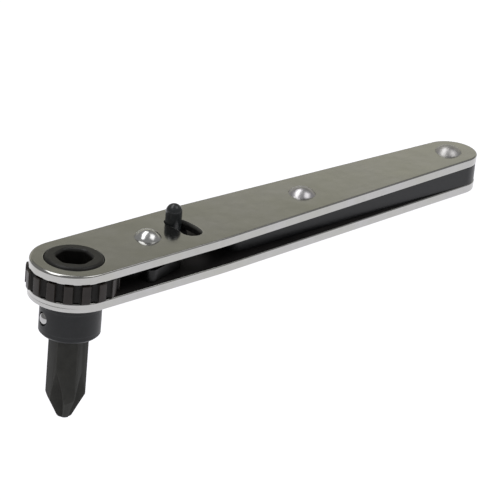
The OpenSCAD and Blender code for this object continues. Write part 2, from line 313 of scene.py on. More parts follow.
def placed(mesh, node, body, slot_name, *materials):
    """Puts a mesh in the scene in place of a node, riding on its body if one is given."""
    for material in materials:
        mesh.materials.append(material)
    piece = bpy.data.objects.new(mesh.name, mesh)
    bpy.context.scene.collection.objects.link(piece)
    if body:
        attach(piece, body)
    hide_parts(node)
    return piece


# Paths are lists of (x, y, normal x, normal y), with the metal on their left
def arc(x, y, r, start, end, steps, out=1):
    """Points along an arc in degrees, both ends included; out is -1 for the wall of a hole."""
    path = []
    for i in range(steps + 1):
        a = math.radians(start + (end - start) * i / steps)
        c, s = math.cos(a), math.sin(a)
        path.append((x + r * c, y + r * s, out * c, out * s))
    return path


def polar(r, turn):
    """Point at a radius and a turn."""
    return r * math.cos(math.radians(turn)), r * math.sin(math.radians(turn))


def hole(x, r, steps=HOLE_STEPS):
    """Round hole on the middle line of the handle."""
    return arc(x, 0, r, 360, 0, steps, out=-1)[:-1]


def plate_outline():
    """Round head, parallel sides, then a taper to the round tail."""
    turn = math.radians(TAPER_TURN)
    lean = (math.sin(turn), math.cos(turn))
    before = TAPER_X - KINK_EASE
    after = TAPER_X + KINK_EASE
    after_y = HEAD_R - KINK_EASE * math.tan(turn)
    tail = arc(TAIL_X, 0, TAIL_R, TAPER_TURN - 90, 90 - TAPER_TURN, ROUND_STEPS)
    upper = [(after, after_y, lean[0], lean[1]), (before, HEAD_R, 0, 1)]
    head = arc(0, 0, HEAD_R, 90, 270, FINE_STEPS)
    lower = [(before, -HEAD_R, 0, -1), (after, -after_y, lean[0], -lean[1])]
    return tail + upper + head + lower


def slot_outline():
    """Curved slot round the pivot, in which the thumb pin swings."""
    near = PIN_ORBIT - SLOT_HALF_WIDTH
    far = PIN_ORBIT + SLOT_HALF_WIDTH
    reach_x, end_y = polar(PIN_ORBIT, SLOT_END)
    end_x = PIVOT_X + reach_x
    far_side = arc(PIVOT_X, 0, far, SLOT_END, -SLOT_END, SLOT_SIDE_STEPS, out=-1)
    lower_end = arc(
        end_x, -end_y, SLOT_HALF_WIDTH, -SLOT_END, -SLOT_END - 180, SLOT_END_STEPS, out=-1)
    near_side = arc(PIVOT_X, 0, near, -SLOT_END, SLOT_END, SLOT_SIDE_STEPS)
    upper_end = arc(end_x, end_y, SLOT_HALF_WIDTH, SLOT_END + 180, SLOT_END, SLOT_END_STEPS, out=-1)
    return far_side[:-1] + lower_end[:-1] + near_side[:-1] + upper_end[:-1]


def spacer_outline():
    """Parallel sides, a round tail and rounded front corners."""
    corner_x = SPACER_X + SPACER_CORNER_R
    corner_y = SPACER_HALF_WIDTH - SPACER_CORNER_R
    path = arc(TAIL_X, 0, SPACER_HALF_WIDTH, -90, 90, ROUND_STEPS)
    path += arc(corner_x, corner_y, SPACER_CORNER_R, 90, 180, SPACER_CORNER_STEPS)
    path += arc(corner_x, -corner_y, SPACER_CORNER_R, 180, 270, SPACER_CORNER_STEPS)
    return path


def hex_hole(flats, corner_r):
    """Six-sided hole in line with the bit's hexagon, with rounded corners."""
    half_step = HEX_STEP / 2
    reach = (flats / 2 - corner_r) / math.cos(math.radians(half_step))
    path = []
    for k in range(HEX_SIDES):
        turn = HEX_TURN - HEX_STEP * k
        x, y = polar(reach, turn)
        path += arc(x, y, corner_r, turn + half_step, turn - half_step, HEX_CORNER_STEPS, out=-1)
    return path


def gear_outline():
    """Lands on the tip circle, round grooves between them, and eased corners."""
    pitch = 360 / GEAR_TEETH
    inner = GEAR_TIP_R - LAND_EASE
    reach = GEAR_GROOVE_R + LAND_EASE
    cosine = (GEAR_TIP_R ** 2 + inner ** 2 - reach ** 2) / (2 * GEAR_TIP_R * inner)
    part = math.degrees(math.acos(cosine))
    near_x, near_y = polar(inner, part)
    lean = math.degrees(math.atan2(near_y, GEAR_TIP_R - near_x))
    half_land = pitch / 2 - part
    path = []
    for i in range(GEAR_TEETH):
        land = i * pitch
        gap = land + pitch / 2
        groove = polar(GEAR_TIP_R, gap)
        before = polar(inner, gap - part)
        after = polar(inner, gap + part)
        path += arc(0, 0, GEAR_TIP_R, land - half_land, land + half_land, LAND_STEPS)[:-1]
        path += arc(*before, LAND_EASE, gap - part, gap + lean, LAND_EASE_STEPS)[:-1]
        path += arc(
            *groove, GEAR_GROOVE_R, gap + lean - 180, gap - lean - 180, GROOVE_STEPS, out=-1)[:-1]
        path += arc(*after, LAND_EASE, gap - lean, gap + part, LAND_EASE_STEPS)[:-1]
    return path


# Walls are rows of (places, normals) from the top down, each row over a whole path
def edge_rows(path, z, radius, side):
    """Rows from a level face to the wall; side is 1 for an upper edge and -1 for a lower one."""
    rows = []
    for i in range(EDGE_STEPS + 1):
        turn = math.radians(90 * i / EDGE_STEPS)
        s, c = math.sin(turn), math.cos(turn)
        places = []
        for (x, y, nx, ny), r in zip(path, each(radius, len(path))):
            inset = r * (1 - s)
            places.append((x - nx * inset, y - ny * inset, z - side * r * (1 - c)))
        rows.append((places, [(nx * s, ny * s, side * c) for x, y, nx, ny in path]))
    return rows


def crease_rows(path, depths):
    """Rows of a shallow round crease, with its depth at each point as a share of the full one."""
    levels = ((1, 0, 0), (0.5, 0.5, -1), (0, 1, 0), (-0.5, 0.5, 1), (-1, 0, 0))
    rows = []
    for rise, share, lean in levels:
        z = CREASE_Z + rise * CREASE_HALF
        places = []
        normals = []
        for (x, y, nx, ny), depth in zip(path, depths):
            inset = depth * CREASE_DEPTH * share
            places.append((x - nx * inset, y - ny * inset, z))
            normals.append((nx, ny, lean * depth * FLANK_SLOPE))
        rows.append((places, normals))
    return rows


def wall_rows(path, z_range, low_r=0, high_r=0, crease=None):
    """Rows down a wall; each edge radius may be one value or a list with one for each point."""
    upper = edge_rows(path, z_range[1], high_r, 1)
    lower = edge_rows(path, z_range[0], low_r, -1)
    middle = crease_rows(path, crease) if crease else []
    return upper + middle + lower[::-1]


def towards_head(path, plain, head):
    """A value for each point, which goes from plain to head round the front of the head."""
    values = []
    for x, y, nx, ny in path:
        share = min(max(-x / HEAD_R, 0), 1)
        values.append(plain + (head - plain) * share)
    return values


# An outline or a hole, with its edge radii, its wall's material slot and any crease
Loop = namedtuple("Loop", "path low_r high_r wall crease", defaults=(0, 0, FACE, None))


def sheet(loops, z_range, top=FACE, bottom=FACE):
    """A flat piece of an outline and holes, with the material slots of its two faces."""
    shape = Shape()
    tops = []
    bottoms = []
    for loop in loops:
        rows = wall_rows(loop.path, z_range, loop.low_r, loop.high_r, loop.crease)
        shape.bands(rows, loop.wall)
        tops.append(rows[0][0])
        bottoms.append(rows[-1][0])
    shape.cap(tops, True, top)
    shape.cap(bottoms, False, bottom)
    return shape


# Runs are lists of (r, z, normal r, normal z) along a turned profile, with the outside to the left
def rounded(corners):
    """Runs through corners of (r, z, radius); a corner with no radius is sharp."""
    runs = [[]]
    last = len(corners) - 1
    for i, (r, z, radius) in enumerate(corners):
        here = Vector((r, z))
        if i > 0:
            inward = (here - Vector(corners[i - 1][:2])).normalized()
            n_in = Vector((-inward.y, inward.x))
        if i < last:
            outward = (Vector(corners[i + 1][:2]) - here).normalized()
            n_out = Vector((-outward.y, outward.x))
        if i == 0:
            runs[-1].append((r, z, n_out.x, n_out.y))
        elif i == last:
            runs[-1].append((r, z, n_in.x, n_in.y))
        elif radius == 0:
            runs[-1].append((r, z, n_in.x, n_in.y))
            runs.append([(r, z, n_out.x, n_out.y)])
        else:
            turn = inward.angle_signed(outward)
            start = here - inward * radius * math.tan(abs(turn) / 2)
            side = -1 if inward.x * outward.y - inward.y * outward.x < 0 else 1
            centre = start + n_in * radius * side
            for k in range(CORNER_STEPS + 1):
                n = n_in.slerp(n_out, k / CORNER_STEPS)
                at = centre - n * radius * side
                runs[-1].append((at.x, at.y, n.x, n.y))
    return runs


def dome(z, height, r, steps=DOME_STEPS):
    """Run over a dome from its top on the axis down to its rim at height z."""
    ball_r = (r * r + height * height) / (2 * height)
    reach = math.asin(r / ball_r)
    run = []
    for i in range(steps + 1):
        a = reach * i / steps
        s, c = math.sin(a), math.cos(a)
        run.append((ball_r * s, z + height - ball_r * (1 - c), s, c))
    return run


def flipped(runs, z):
    """Mirrors runs about a height, keeping the outside to the left."""
    return [[(r, 2 * z - rz, nr, -nz) for r, rz, nr, nz in reversed(run)] for run in reversed(runs)]


def lathe(shape, runs, x=0, y=0, steps=ROUND_STEPS, slot=0):
    """Turns runs about the upright line through (x, y)."""
    spokes = [polar(1, 360 * j / steps) for j in range(steps)]
    for run in runs:
        rows = []
        for r, z, nr, nz in run:
            places = [(x + r * c, y + r * s, z) for c, s in spokes]
            normals = [(nr * c, nr * s, nz) for c, s in spokes]
            rows.append((places, normals))
        shape.bands(rows, slot)


def ring(r, z):
    """Level ring round the drive axis."""
    return [(*polar(r, 360 * j / FINE_STEPS), z) for j in range(FINE_STEPS)]


def rivet(node, x, shank_r, head_r):
    """Round-headed rivet through both plates."""
    shape = Shape()
    low, high = BOTTOM_PLATE_Z[0], TOP_PLATE_Z[1]
    head = dome(high, heights(node)[1] - high, head_r)
    upper = [head, [(head_r, high, 0, -1), (shank_r, high, 0, -1)]]
    shank = [(shank_r, high, 1, 0), (shank_r, low, 1, 0)]
    lathe(shape, upper + [shank] + flipped(upper, (low + high) / 2), x)
    return shape


def gear_disc(shape):
    """Toothed disc between the plates."""
    path = gear_outline()
    land_r = GEAR_TIP_R - LAND_EASE
    teeth = wall_rows(path, GEAR_Z, TOOTH_EDGE_R, TOOTH_EDGE_R)
    # Grooves take their own slot, for a darker finish that is painted shade
    shape.bands(teeth, [DISC if math.hypot(x, y) > land_r else GROOVE for x, y, nx, ny in path])
    shape.cap([teeth[0][0], ring(HUB_R, GEAR_Z[1])], True, DISC)
    shape.cap([teeth[-1][0], ring(COLLAR_R, GEAR_Z[0])], False, DISC)


def gear_hub(shape):
    """Hub with its six-sided recess, and the push-out hole under that."""
    key = wall_rows(hex_hole(KEY_FLATS, KEY_CORNER_R), (KEY_Z, HUB_TOP), high_r=KEY_EDGE_R)
    shape.bands(key, HUB)
    shape.cap([ring(HUB_RIM_R, HUB_TOP), key[0][0]], True, HUB)
    shape.cap([key[-1][0], ring(PUSH_HOLE_R, KEY_Z)], True, HUB)
    rim = rounded([
        (HUB_RIM_R, HUB_TOP, 0),
        (HUB_R, HUB_TOP, HUB_EDGE_R),
        (HUB_R, GEAR_Z[1], 0),
    ])
    push_hole = rounded([(PUSH_HOLE_R, SHOULDER_Z, 0), (PUSH_HOLE_R, KEY_Z, 0)])
    lathe(shape, rim + push_hole, steps=FINE_STEPS, slot=HUB)


def gear_collar(shape):
    """Collar with the groove for the retaining band, and the bit's hex socket."""
    band_low, band_high = BAND_GROOVE_Z
    outside = rounded([
        (COLLAR_R, GEAR_Z[0], 0),
        (COLLAR_R, band_high, 0),
        (BAND_GROOVE_R, band_high, 0),
        (BAND_GROOVE_R, band_low, 0),
        (COLLAR_R, band_low, 0),
        (COLLAR_R, COLLAR_BOTTOM + NOSE_CHAMFER, NOSE_EDGE_R),
        (COLLAR_R - NOSE_CHAMFER, COLLAR_BOTTOM, NOSE_EDGE_R),
        (MOUTH_R, COLLAR_BOTTOM, 0),
    ])
    lathe(shape, outside, steps=FINE_STEPS, slot=COLLAR)
    socket = wall_rows(
        hex_hole(SOCKET_FLATS, SOCKET_CORNER_R), (COLLAR_BOTTOM, SHOULDER_Z), low_r=SOCKET_EDGE_R)
    shape.bands(socket, COLLAR)
    shape.cap([ring(MOUTH_R, COLLAR_BOTTOM), socket[-1][0]], False, COLLAR)
    shape.cap([socket[0][0], ring(PUSH_HOLE_R, SHOULDER_Z)], False, COLLAR)


def thumb_pin(x, y):
    """Round-topped pin on a thinner stem."""
    shape = Shape()
    crown = dome(PIN_CROWN_Z, PIN_R, PIN_R)
    stem = rounded([
        (PIN_R, PIN_CROWN_Z, 0),
        (PIN_R, PIN_SHOULDER_Z, 0),
        (PIN_STEM_R, PIN_SHOULDER_Z, 0),
        (PIN_STEM_R, PIN_BOTTOM, 0),
        (0, PIN_BOTTOM, 0),
    ])
    lathe(shape, [crown] + stem, x, y)
    return shape


def detent_ball():
    """A dome and its mirror image."""
    shape = Shape()
    upper = [dome(BALL_Z, BALL_R, BALL_R, BALL_STEPS)]
    lathe(shape, upper + flipped(upper, BALL_Z), *polar(BALL_REACH, BALL_TURN))
    return shape


def spring(foot, head):
    """Coil of round wire between two points on its axis, which narrows towards its foot."""
    shape = Shape()
    along = (head - foot).normalized()
    side = Vector((-along.y, along.x, 0))
    length = (head - foot).length - 2 * WIRE_R
    pitch = length / (math.tau * SPRING_TURNS)
    rows = []
    for i in range(SPRING_STEPS + 1):
        share = i / SPRING_STEPS
        turn = math.tau * SPRING_TURNS * share
        out = side * math.cos(turn) + Vector((0, 0, math.sin(turn)))
        r = SPRING_FOOT_R + (SPRING_MID_R - SPRING_FOOT_R) * min(share / SPRING_CONE, 1)
        way = along * pitch + along.cross(out) * r
        way.normalize()
        centre = foot + along * (WIRE_R + length * share) + out * r
        normals = []
        for k in range(WIRE_SIDES):
            a = math.tau * k / WIRE_SIDES
            normals.append(out * math.cos(a) + out.cross(way) * math.sin(a))
        places = [centre + n * WIRE_R for n in normals]
        middle = [centre] * WIRE_SIDES
        forward = [way] * WIRE_SIDES
        backward = [-way] * WIRE_SIDES
        if i == 0:
            rows += [(middle, backward), (places, backward)]
        rows.append((places, normals))
        if i == SPRING_STEPS:
            rows += [(places, forward), (middle, forward)]
    shape.bands(rows)
    return shape


def eased_bit():
    """A copy of the bit's mesh with its sharp edges rounded over and its lower tip made round."""
    shape = bmesh.new()
    shape.from_mesh(frame["nodes"]["driver_bit"].data)
    bmesh.ops.remove_doubles(shape, verts=shape.verts, dist=BIT_WELD * MM)
    bmesh.ops.dissolve_limit(
        shape, angle_limit=math.radians(FLAT_TURN), verts=shape.verts, edges=shape.edges)
    least = math.radians(EASED_TURN)
    edges = [e for e in shape.edges if e.is_manifold and e.calc_face_angle() > least]
    bmesh.ops.bevel(
        shape, geom=edges, offset=BIT_EASE * MM, segments=BIT_EASE_STEPS, profile=0.5,
        affect="EDGES", clamp_overlap=True)
    round_tip(shape)
    mesh = bpy.data.meshes.new("driver_bit_skin")
    shape.to_mesh(mesh)
    shape.free()
    mesh.shade_smooth()
    mesh.set_sharp_from_angle(angle=math.radians(SHARP_TURN))
    return mesh


def round_tip(shape):
    """Lifts the lowest points on to a ball that stands on the tip."""
    ball_r = TIP_BALL_R * MM
    top = TIP_HEIGHT * MM
    for i in range(1, TIP_SLICES):
        geom = shape.verts[:] + shape.edges[:] + shape.faces[:]
        bmesh.ops.bisect_plane(
            shape, geom=geom, plane_co=(0, 0, top * i / TIP_SLICES), plane_no=(0, 0, 1))
    low = [f for f in shape.faces if f.calc_center_median().z < TIP_FACE_Z * MM]
    bmesh.ops.poke(shape, faces=[f for f in low if f.normal.z < TIP_FACE_NORMAL])
    for vert in shape.verts:
        r = vert.co.xy.length
        if r < ball_r and vert.co.z < top:
            vert.co.z = max(vert.co.z, ball_r - math.sqrt(ball_r ** 2 - r ** 2))


class Nodes:
    """A material's node tree, built up by short calls.

    Noise scales are per metre. Reaches and depths are in millimetres.
    """

    NOISE_LOW = 0.3
    NOISE_HIGH = 0.7
    EDGE_OPENNESS = 0.5
    FACE_OPENNESS = 0.95
    LEAST_RUB = 0.25

    def __init__(self, name):
        self.material = bpy.data.materials.new(name)
        self.material.use_nodes = True
        self.tree = self.material.node_tree
        self.shader = self.tree.nodes["Principled BSDF"]
        coords = self.tree.nodes.new("ShaderNodeTexCoord")
        self.where = coords.outputs["Object"]

    def link(self, out, to):
        self.tree.links.new(out, to)

    def noise(self, scale, detail=4.0, roughness=0.6, stretch=None):
        """Noise whose scale along each axis is multiplied by stretch."""
        node = self.tree.nodes.new("ShaderNodeTexNoise")
        node.inputs["Scale"].default_value = scale
        node.inputs["Detail"].default_value = detail
        node.inputs["Roughness"].default_value = roughness
        place = self.where
        if stretch:
            mapping = self.tree.nodes.new("ShaderNodeMapping")
            mapping.inputs["Scale"].default_value = stretch
            self.link(place, mapping.inputs["Vector"])
            place = mapping.outputs["Vector"]
        self.link(place, node.inputs["Vector"])
        return node.outputs["Fac"]

    def height(self):
        """Height over the bit's tip, in metres."""
        node = self.tree.nodes.new("ShaderNodeSeparateXYZ")
        self.link(self.where, node.inputs["Vector"])
        return node.outputs["Z"]

    def span(self, value, low, high, start=NOISE_LOW, end=NOISE_HIGH):
        """Spreads a value, by default a noise, over low to high."""
        node = self.tree.nodes.new("ShaderNodeMapRange")
        node.inputs["From Min"].default_value = start
        node.inputs["From Max"].default_value = end
        node.inputs["To Min"].default_value = low
        node.inputs["To Max"].default_value = high
        self.link(value, node.inputs["Value"])
        return node.outputs["Result"]

    def shade(self, value, dark, light):
        """Colours a noise from dark to light."""
        node = self.tree.nodes.new("ShaderNodeValToRGB")
        stops = ((self.NOISE_LOW, dark), (self.NOISE_HIGH, light))
        for element, (position, colour) in zip(node.color_ramp.elements, stops):
            element.position = position
            element.color = (*colour, 1)
        self.link(value, node.inputs["Fac"])
        return node.outputs["Color"]

    def rubbed(self, reach, patches):
        """1 along the outer edges, less where the patches are low, and 0 on open faces."""
        edge = self.tree.nodes.new("ShaderNodeAmbientOcclusion")
        edge.inside = True
        edge.only_local = True
        edge.inputs["Distance"].default_value = reach * MM
        along = self.span(edge.outputs["AO"], 1, 0, self.EDGE_OPENNESS, self.FACE_OPENNESS)
        node = self.tree.nodes.new("ShaderNodeMath")
        node.operation = "MULTIPLY"
        self.link(along, node.inputs[0])
        self.link(self.span(patches, self.LEAST_RUB, 1), node.inputs[1])
        return node.outputs["Value"]

    def blend(self, share, base, over):
        """Goes from an output to a colour or a number as the share goes from 0 to 1."""
        node = self.tree.nodes.new("ShaderNodeMix")
        is_colour = isinstance(over, tuple)
        node.data_type = "RGBA" if is_colour else "FLOAT"
        self.link(share, node.inputs["Factor"])
        self.link(base, node.inputs["A"])
        node.inputs["B"].default_value = (*over, 1) if is_colour else over
        return node.outputs["Result"]

    def bump(self, value, depth, strength=1.0, under=None):
        """Surface normal of a relief, laid over another normal if one is given."""
        node = self.tree.nodes.new("ShaderNodeBump")
        node.inputs["Strength"].default_value = strength
        node.inputs["Distance"].default_value = depth * MM
        self.link(value, node.inputs["Height"])
        if under:
            self.link(under, node.inputs["Normal"])
        return node.outputs["Normal"]

    def set(self, **values):
        """Sets shader values that are the same all over."""
        for name, value in values.items():
            self.shader.inputs[name.replace("_", " ")].default_value = value

    def wire(self, colour, roughness=None, normal=None):
        """Links what varies to the shader and gives the material."""
        for name, out in (("Base Color", colour), ("Roughness", roughness), ("Normal", normal)):
            if out:
                self.link(out, self.shader.inputs[name])
        return self.material


def plate_finish():
    """Bright nickel: a gentle wave, faint clouds and flecks, fine grain and edges rubbed bright."""
    n = Nodes("bright_nickel")
    n.set(Metallic=1.0)
    cloud = n.noise(scale=90)
    fleck = n.span(n.noise(scale=650, detail=6, roughness=0.7), low=0, high=0.35)
    rub = n.rubbed(reach=0.4, patches=n.noise(scale=300))
    colour = n.shade(cloud, dark=(0.449, 0.448, 0.415), light=(0.479, 0.474, 0.479))
    colour = n.blend(fleck, colour, over=(0.37, 0.37, 0.34))
    colour = n.blend(rub, colour, over=(0.53, 0.53, 0.53))
    roughness = n.blend(rub, n.span(cloud, low=0.1, high=0.15), over=0.18)
    wave = n.bump(n.noise(scale=110, detail=2), depth=0.02)
    grain = n.noise(scale=1500, detail=3, stretch=(0.04, 1, 1))
    return n.wire(colour, roughness, n.bump(grain, depth=0.003, strength=0.4, under=wave))


def inner_shade_finish():
    """Inner face of a plate, dark and dull: painted shade for the gap between the plates."""
    n = Nodes("shaded_inner_face")
    n.set(IOR=1.2)
    cloud = n.noise(scale=160)
    tooth = n.noise(scale=2600, detail=3)
    colour = n.shade(cloud, dark=(0.024, 0.0225, 0.0225), light=(0.04, 0.037, 0.037))
    roughness = n.span(cloud, low=0.45, high=0.6)
    return n.wire(colour, roughness, n.bump(tooth, depth=0.008, strength=0.2))


def slot_finish():
    """Cut wall of the slot: dark and streaked as painted shade, with a painted highlight along its
    top that fades out further down.
    """
    n = Nodes("cut_wall_painted_light")
    n.set(IOR=1.3)
    lit_top_depth = 0.9
    top = TOP_PLATE_Z[1]
    streak = n.noise(scale=900, stretch=(1, 1, 0.1))
    # Painted highlight: lighter towards the top edge of the wall, where light falls into the slot
    painted_highlight = n.span(n.height(), low=0, high=1, start=(top - lit_top_depth) * MM, end=top * MM)
    colour = n.shade(streak, dark=(0.012, 0.0115, 0.011), light=(0.03, 0.029, 0.027))
    colour = n.blend(painted_highlight, colour, over=(0.33, 0.325, 0.3))
    roughness = n.span(streak, low=0.4, high=0.55)
    return n.wire(colour, roughness, n.bump(streak, depth=0.01, strength=0.3))


def bright_finish(name, dark, light, smooth, rough):
    """Bright plated steel with faint handling marks."""
    n = Nodes(name)
    n.set(Metallic=1.0)
    smudge = n.noise(scale=500)
    colour = n.shade(smudge, dark, light)
    roughness = n.span(smudge, low=smooth, high=rough)
    return n.wire(colour, roughness, n.bump(smudge, depth=0.006, strength=0.3))


def spacer_finish():
    """Black plastic with a soft sheen and a slight ripple."""
    n = Nodes("sheen_black")
    n.set(IOR=1.36)
    ripple = n.noise(scale=260, detail=3, stretch=(0.5, 1, 1))
    colour = n.shade(ripple, dark=(0.012, 0.0124, 0.0132), light=(0.018, 0.0187, 0.02))
    roughness = n.span(ripple, low=0.3, high=0.4)
    return n.wire(colour, roughness, n.bump(ripple, depth=0.01, strength=0.3))


def oxide_finish(name, dark, light, worn, smooth, rough, ior):
    """Black oxide on steel, with mottling, a fine tooth and lighter, smoother rubbed edges."""
    n = Nodes(name)
    n.set(IOR=ior)
    polish = 0.06
    mottle = n.noise(scale=420, detail=5)
    tooth = n.noise(scale=2600, detail=3)
    rub = n.rubbed(reach=0.3, patches=n.noise(scale=900))
    colour = n.blend(rub, n.shade(mottle, dark, light), over=worn)
    roughness = n.blend(rub, n.span(mottle, low=smooth, high=rough), over=smooth - polish)
    return n.wire(colour, roughness, n.bump(tooth, depth=0.012, strength=0.25))


def lever_plate_shade_finish():
    """Dull black on the lever plate under the slot, far darker than the thumb pin: painted shade in
    the slot.
    """
    n = Nodes("shaded_dull_black")
    n.set(IOR=1.25)
    mottle = n.noise(scale=700)
    tooth = n.noise(scale=2600, detail=3)
    colour = n.shade(mottle, dark=(0.002, 0.002, 0.002), light=(0.004, 0.004, 0.004))
    roughness = n.span(mottle, low=0.5, high=0.65)
    return n.wire(colour, roughness, n.bump(tooth, depth=0.008, strength=0.2))


def pin_finish():
    """Satin black on the pin that the thumb pushes."""
    n = Nodes("satin_black")
    n.set(IOR=1.45)
    mottle = n.noise(scale=700)
    colour = n.shade(mottle, dark=(0.0238, 0.0266, 0.0278), light=(0.0338, 0.0378, 0.0394))
    roughness = n.span(mottle, low=0.2, high=0.27)
    return n.wire(colour, roughness, n.bump(mottle, depth=0.006, strength=0.25))


def spring_finish():
    """Bright drawn steel with a fine grain."""
    n = Nodes("spring_steel")
    n.set(Metallic=1.0)
    grain = n.noise(scale=1400, detail=3)
    colour = n.shade(grain, dark=(0.42, 0.42, 0.42), light=(0.55, 0.55, 0.54))
    roughness = n.span(grain, low=0.2, high=0.32)
    return n.wire(colour, roughness, n.bump(grain, depth=0.006, strength=0.3))


def floor_finish():
    """Matt white that glows a little, so that the part's shadow stays pale."""
    n = Nodes("pale_floor")
    n.set(Roughness=0.9, Emission_Color=(1.0, 0.99, 1.07, 1), Emission_Strength=0.5)
    speckle = n.noise(scale=30, detail=2)
    return n.wire(n.shade(speckle, dark=(0.88, 0.88, 0.88), light=(0.9, 0.9, 0.9)))


# Finishes
NICKEL = plate_finish()
INNER = inner_shade_finish()
SLOT_WALL = slot_finish()
BALL_STEEL = bright_finish(
    "ball_steel", dark=(0.39, 0.39, 0.385), light=(0.45, 0.45, 0.445), smooth=0.07, rough=0.14)
RIVET_STEEL = bright_finish(
    "satin_rivet", dark=(0.58, 0.58, 0.57), light=(0.64, 0.64, 0.63), smooth=0.18, rough=0.25)
# Mid and tail rivets: darker and rougher copies of the rivet steel, darker towards the tail, as
# painted shade for the dimmer light on them
DIMMED_RIVET = bright_finish(
    "dimmed_dull_rivet", dark=(0.5, 0.485, 0.5), light=(0.56, 0.545, 0.56), smooth=0.27, rough=0.34)
DIMMEST_TAIL_RIVET = bright_finish(
    "tail_rivet", dark=(0.46, 0.45, 0.45), light=(0.52, 0.51, 0.5), smooth=0.36, rough=0.42)
SHEEN_BLACK = spacer_finish()
LAND_OXIDE = oxide_finish(
    "land_oxide", dark=(0.0135, 0.0098, 0.0078), light=(0.0236, 0.0178, 0.0142),
    worn=(0.044, 0.039, 0.034), smooth=0.28, rough=0.34, ior=1.36)
# Darker, duller copy of the land oxide for the grooves: painted shade in the hollows between the
# teeth
GROOVE_SHADE_OXIDE = oxide_finish(
    "groove_shade_oxide", dark=(0.0105, 0.0098, 0.0088), light=(0.0175, 0.0164, 0.0148),
    worn=(0.024, 0.0225, 0.0205), smooth=0.42, rough=0.5, ior=1.26)
HUB_OXIDE = oxide_finish(
    "hub_oxide", dark=(0.009, 0.0086, 0.0078), light=(0.014, 0.0133, 0.012),
    worn=(0.03, 0.0285, 0.026), smooth=0.36, rough=0.48, ior=1.4)
# Far darker than the gear's oxide: painted shade for the pawl between the plates
PAWL_SHADE_OXIDE = oxide_finish(
    "pawl_shade_oxide", dark=(0.004, 0.004, 0.004), light=(0.008, 0.008, 0.008),
    worn=(0.02, 0.02, 0.02), smooth=0.3, rough=0.42, ior=1.36)
SLATE_OXIDE = oxide_finish(
    "slate_oxide", dark=(0.013, 0.0139, 0.0146), light=(0.021, 0.0222, 0.0234),
    worn=(0.028, 0.0295, 0.031), smooth=0.4, rough=0.5, ior=1.34)
BIT_OXIDE = oxide_finish(
    "bit_oxide", dark=(0.029, 0.029, 0.0262), light=(0.043, 0.043, 0.039),
    worn=(0.075, 0.075, 0.07), smooth=0.5, rough=0.62, ior=1.18)
SATIN_BLACK = pin_finish()
SHADED_DULL_BLACK = lever_plate_shade_finish()
SPRING_STEEL = spring_finish()

# Plates
outline = plate_outline()
pivot_hole = Loop(hole(PIVOT_X, PIVOT_SHANK_R + SHANK_GAP, RIVET_HOLE_STEPS))
handle_holes = [
    Loop(hole(x, HANDLE_SHANK_R + SHANK_GAP, RIVET_HOLE_STEPS)) for x in (MID_X, TAIL_RIVET_X)]
top_loops = [
    Loop(outline, INNER_EDGE_R, towards_head(outline, EDGE_R, HEAD_EDGE_R)),
    Loop(hole(0, HUB_HOLE_R), HOLE_EDGE_R, HOLE_EDGE_R),
    Loop(slot_outline(), HOLE_EDGE_R, SLOT_EDGE_R, wall=CUT),
    pivot_hole,
    *handle_holes,
]
bottom_loops = [
    Loop(outline, EDGE_R, INNER_EDGE_R, crease=towards_head(outline, plain=0, head=1)),
    Loop(hole(0, COLLAR_HOLE_R), HOLE_EDGE_R, HOLE_EDGE_R),
    pivot_hole,
    *handle_holes,
]
# The plates' inner faces take the dark finish, painted shade for the gap between them
sheet(top_loops, TOP_PLATE_Z, bottom=INSIDE).make(
    "top_plate", "handle", "plate_steel", NICKEL, INNER, SLOT_WALL)
sheet(bottom_loops, BOTTOM_PLATE_Z, top=INSIDE).make(
    "bottom_plate", "handle", "plate_steel", NICKEL, INNER)

# Spacer between the plates
spacer_loops = [Loop(spacer_outline(), SPACER_EDGE_R, SPACER_EDGE_R), *handle_holes]
sheet(spacer_loops, SPACER_Z).make("handle_spacer", "handle", "spacer_black", SHEEN_BLACK)

# Rivets
RIVETS = (
    ("pivot_rivet", PIVOT_X, PIVOT_SHANK_R, PIVOT_HEAD_R, RIVET_STEEL),
    ("mid_rivet", MID_X, HANDLE_SHANK_R, HANDLE_HEAD_R, DIMMED_RIVET),
    ("tail_rivet", TAIL_RIVET_X, HANDLE_SHANK_R, HANDLE_HEAD_R, DIMMEST_TAIL_RIVET),
)
for node, x, shank_r, head_r, finish in RIVETS:
    rivet(node, x, shank_r, head_r).make(node, "handle", "rivet_steel", finish)

# Drive gear as one skin, and the bit
gear = Shape()
gear_disc(gear)
gear_hub(gear)
gear_collar(gear)
gear.make("drive_gear", "drive", "gear_oxide", LAND_OXIDE, SLATE_OXIDE, HUB_OXIDE, GROOVE_SHADE_OXIDE)
placed(eased_bit(), "driver_bit", "bit", "bit_oxide", BIT_OXIDE)

# Thumb pin at one end of its slot
pin_x, pin_y = polar(PIN_ORBIT, PIN_THROW)
thumb_pin(PIVOT_X + pin_x, pin_y).make("thumb_pin", "lever", "lever_black", SATIN_BLACK)

# Toggle spring: its head sits by the thumb pin's stem, and its foot stays by the pawl's heel
spring_foot = Vector((SPRING_FOOT_X, 0, SPRING_Z))
spring_line = Vector((PIVOT_X + pin_x, pin_y, SPRING_Z)) - spring_foot
spring_reach = spring_line.length - PIN_STEM_R - SPRING_GAP
spring_head = spring_foot + spring_line.normalized() * spring_reach
spring_piece = spring(spring_foot, spring_head).make(
    "toggle_spring", None, "spring_steel", SPRING_STEEL)
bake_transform(spring_piece)

# Detent ball
detent_ball().make("detent_ball", "drive", "rivet_steel", BALL_STEEL)

# Finishes of the CAD solids that show as they are
CAD_FINISHES = {
    "retaining_band": SLATE_OXIDE,
    "pawl": PAWL_SHADE_OXIDE,
    "reversing_lever": SHADED_DULL_BLACK,
    "pivot_sleeve": SPRING_STEEL,
}
for node, finish in CAD_FINISHES.items():
    slots = frame["nodes"][node].data.materials
    slots.clear()
    slots.append(finish)

